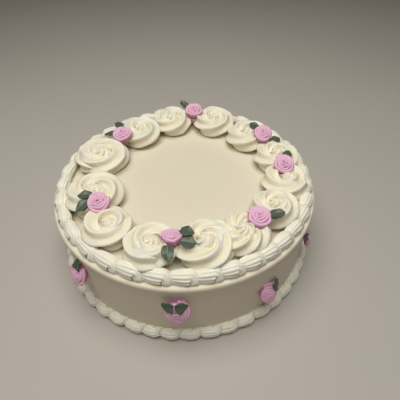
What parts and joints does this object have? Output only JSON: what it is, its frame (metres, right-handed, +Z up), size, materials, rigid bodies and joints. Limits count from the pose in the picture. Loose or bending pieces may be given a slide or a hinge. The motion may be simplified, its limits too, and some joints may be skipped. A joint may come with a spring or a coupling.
{
  "type": "layer cake",
  "caption": "Round layer cake with smooth buttercream sides, a ring of piped swirls on top, shell borders at rim and base, and small sugar roses with leaves.",
  "frame": {"origin": "centre of the cake's underside, on its axis", "axes": "+Z up along the cake's axis; the side that faces the picture's camera looks along -Y"},
  "size_m": [0.2476, 0.2484, 0.0944],
  "materials": {
    "buttercream": "ivory buttercream, smooth, slightly translucent, with a soft sheen",
    "rose_icing": "mauve-pink sugar icing, matte",
    "leaf_icing": "dark grey-green icing with a soft gloss"
  },
  "bodies": {
    "root": {"bottom_border": "buttercream", "cake_body": "buttercream", "side_leaf_01": "leaf_icing", "side_leaf_02": "leaf_icing", "side_leaf_03": "leaf_icing", "side_leaf_04": "leaf_icing", "side_leaf_05": "leaf_icing", "side_leaf_06": "leaf_icing", "side_leaf_07": "leaf_icing", "side_leaf_08": "leaf_icing", "side_leaf_09": "leaf_icing", "side_leaf_10": "leaf_icing", "side_leaf_11": "leaf_icing", "side_leaf_12": "leaf_icing", "side_leaf_13": "leaf_icing", "side_leaf_14": "leaf_icing", "side_leaf_15": "leaf_icing", "side_rose_1": "rose_icing", "side_rose_2": "rose_icing", "side_rose_3": "rose_icing", "side_rose_4": "rose_icing", "side_rose_5": "rose_icing", "side_rose_6": "rose_icing", "side_rose_7": "rose_icing", "side_rose_8": "rose_icing", "side_rose_9": "rose_icing", "swirl_01": "buttercream", "swirl_02": "buttercream", "swirl_03": "buttercream", "swirl_04": "buttercream", "swirl_05": "buttercream", "swirl_06": "buttercream", "swirl_07": "buttercream", "swirl_08": "buttercream", "swirl_09": "buttercream", "swirl_10": "buttercream", "swirl_11": "buttercream", "swirl_12": "buttercream", "swirl_13": "buttercream", "top_border": "buttercream", "top_leaf_01": "leaf_icing", "top_leaf_02": "leaf_icing", "top_leaf_03": "leaf_icing", "top_leaf_04": "leaf_icing", "top_leaf_05": "leaf_icing", "top_leaf_06": "leaf_icing", "top_leaf_07": "leaf_icing", "top_leaf_08": "leaf_icing", "top_leaf_09": "leaf_icing", "top_leaf_10": "leaf_icing", "top_leaf_11": "leaf_icing", "top_leaf_12": "leaf_icing", "top_rose_1": "rose_icing", "top_rose_2": "rose_icing", "top_rose_3": "rose_icing", "top_rose_4": "rose_icing", "top_rose_5": "rose_icing", "top_rose_6": "rose_icing", "top_rose_7": "rose_icing"}
  },
  "joints": []
}
